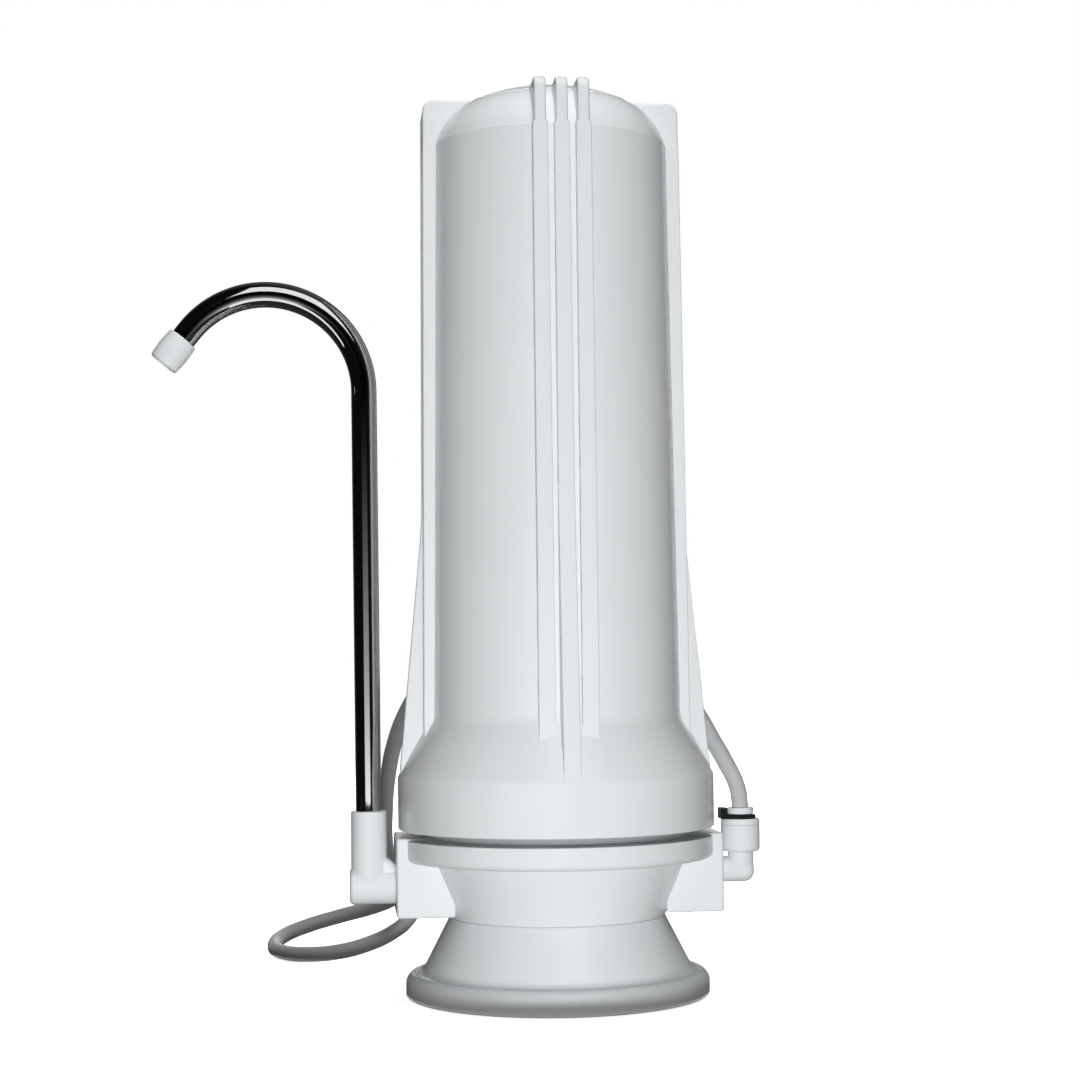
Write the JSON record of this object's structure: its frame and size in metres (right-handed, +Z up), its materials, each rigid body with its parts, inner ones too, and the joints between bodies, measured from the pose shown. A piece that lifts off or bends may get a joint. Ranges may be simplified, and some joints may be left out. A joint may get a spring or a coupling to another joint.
{
  "type": "countertop water filter",
  "caption": "Countertop water filter: ribbed upside-down canister on a ported base and round foot, swivelling gooseneck spout, supply hose and tap diverter.",
  "frame": {"origin": "on the counter, under the canister's axis", "axes": "+Z up along the canister, -Y towards the front, +X towards the inlet, -X towards the spout"},
  "size_m": [0.2251, 0.2844, 0.3387],
  "materials": {
    "white_plastic": "semi-gloss moulded polypropylene",
    "chrome": "polished chrome plate",
    "steel": "plain stainless steel",
    "black_plastic": "moulded acetal",
    "rubber": "moulded nitrile rubber",
    "pad_foam": "closed-cell rubber foam",
    "hose": "extruded polyethylene",
    "carbon": "sintered carbon",
    "fleece": "spun fleece",
    "net": "extruded netting"
  },
  "bodies": {
    "base": {"foot": "white_plastic", "foot_pad": "pad_foam", "foot_screws": "steel", "filter_base": "white_plastic", "carbon_block": "carbon", "cartridge_core": "white_plastic", "cartridge_wrap": "fleece", "cartridge_net": "net", "lower_end_cap": "white_plastic", "upper_end_cap": "white_plastic", "lower_gasket": "rubber", "upper_gasket": "rubber", "inlet_elbow": "white_plastic", "inlet_cap": "white_plastic", "inlet_collet": "white_plastic", "inlet_grip_ring": "steel", "inlet_ring": "rubber", "tube_lock_clip": "black_plastic", "outlet_elbow": "white_plastic", "spout_rings": "rubber", "hose": "hose", "hose_coil": "hose", "hose_tail": "hose", "hose_tie": "black_plastic", "diverter_body": "chrome", "diverter_washer": "rubber", "diverter_aerator": "white_plastic", "diverter_nut": "white_plastic"},
    "seal": {"canister_seal": "rubber"},
    "housing": {"canister": "white_plastic"},
    "spout": {"spout_tube": "chrome", "spout_tip": "white_plastic"},
    "pull": {"diverter_stem": "chrome", "diverter_valve": "rubber", "diverter_knob": "black_plastic"}
  },
  "joints": [
    {"name": "canister_rise", "type": "slide", "parent": "base", "child": "seal", "axis": [0, 0, 1], "range_m": [0, 0.0088]},
    {"name": "canister_turn", "type": "hinge", "parent": "seal", "child": "housing", "pos_m": [0, 0, 0.0632], "axis": [0, 0, 1], "range_deg": [0, 900]},
    {"name": "spout_swivel", "type": "hinge", "parent": "base", "child": "spout", "pos_m": [-0.07, 0, 0.05], "axis": [0, 0, 1], "range_deg": [-120, 120]},
    {"name": "diverter_pull", "type": "slide", "parent": "base", "child": "pull", "axis": [0, -1, 0], "range_m": [0, 0.006]}
  ],
  "couplings": [
    {"joint": "canister_rise", "follows": "canister_turn", "m_per_rad": 0.00055704}
  ]
}
